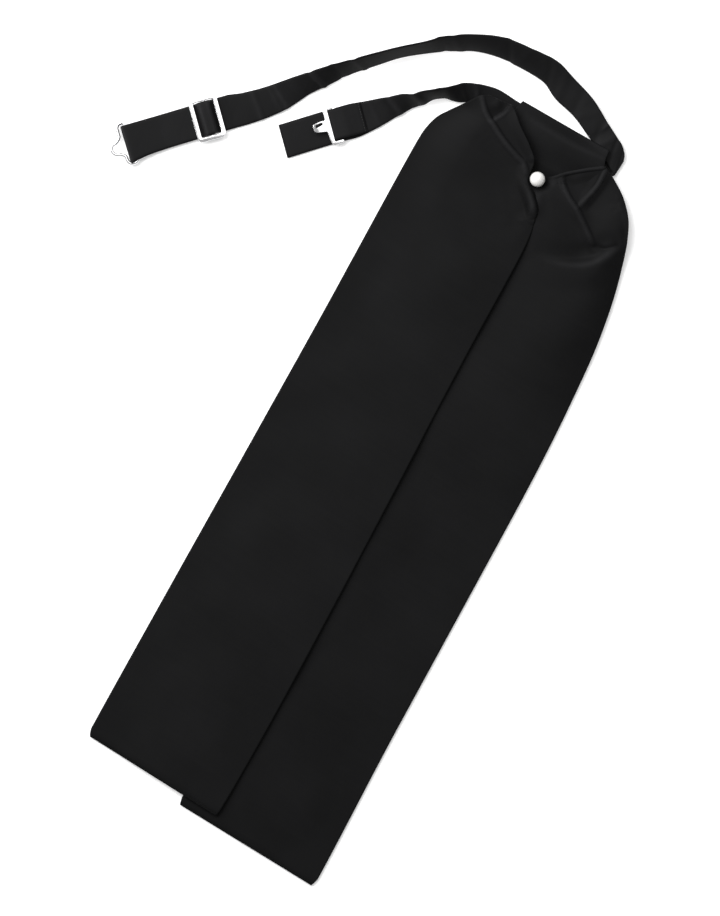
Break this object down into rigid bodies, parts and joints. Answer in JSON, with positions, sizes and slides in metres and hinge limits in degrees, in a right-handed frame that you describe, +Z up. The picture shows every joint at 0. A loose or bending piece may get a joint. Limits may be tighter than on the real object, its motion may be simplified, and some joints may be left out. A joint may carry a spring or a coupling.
{
  "type": "ascot tie",
  "caption": "Pre-tied satin ascot lying flat: two wide blades gathered under a pearl, a collar panel and an open neck band with slider, eye and hook.",
  "frame": {"origin": "on the table under the middle of the bounding box", "axes": "+Y along the blades from the hems to the knot, +Z up from the table, +X to the right of the blades as seen from above"},
  "size_m": [0.296, 0.4626, 0.0141],
  "materials": {
    "satin": "black polyester satin with a soft sheen",
    "nickel": "bright nickel plate",
    "pearl": "imitation pearl, glossy"
  },
  "bodies": {
    "root": {"left_blade": "satin", "right_blade": "satin", "collar_panel": "satin", "long_band": "satin", "short_band": "satin", "hook_loop": "satin", "slider": "nickel", "eye": "nickel", "hook": "nickel", "pearl": "pearl"}
  },
  "joints": []
}
